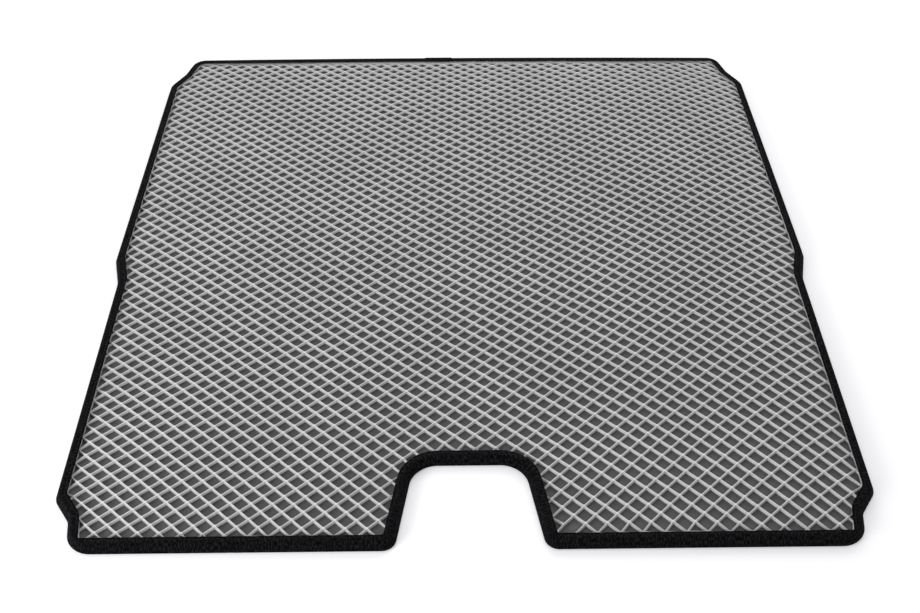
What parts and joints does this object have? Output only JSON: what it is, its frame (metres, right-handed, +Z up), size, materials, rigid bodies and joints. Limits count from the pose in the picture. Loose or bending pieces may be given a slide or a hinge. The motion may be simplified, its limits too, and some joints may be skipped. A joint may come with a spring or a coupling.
{
  "type": "car boot liner",
  "caption": "Flat boot liner of pressed EVA with rhombic pockets, cut to the boot floor with a latch cut-out in its near edge, and bound all round with folded textile tape.",
  "frame": {"origin": "on the floor below the middle of the liner's box", "axes": "+Z up, out of the pocketed side; +Y towards the seat backs, so that the edge with the latch cut-out faces -Y; +X to the right seen from the tailgate"},
  "size_m": [0.944, 0.9948, 0.0133],
  "materials": {
    "eva": "satin grey closed-cell EVA foam with a fine grain",
    "tape": "black woven polyester binding tape"
  },
  "bodies": {
    "root": {"eva_sheet": "eva", "edge_binding": "tape"}
  },
  "joints": []
}
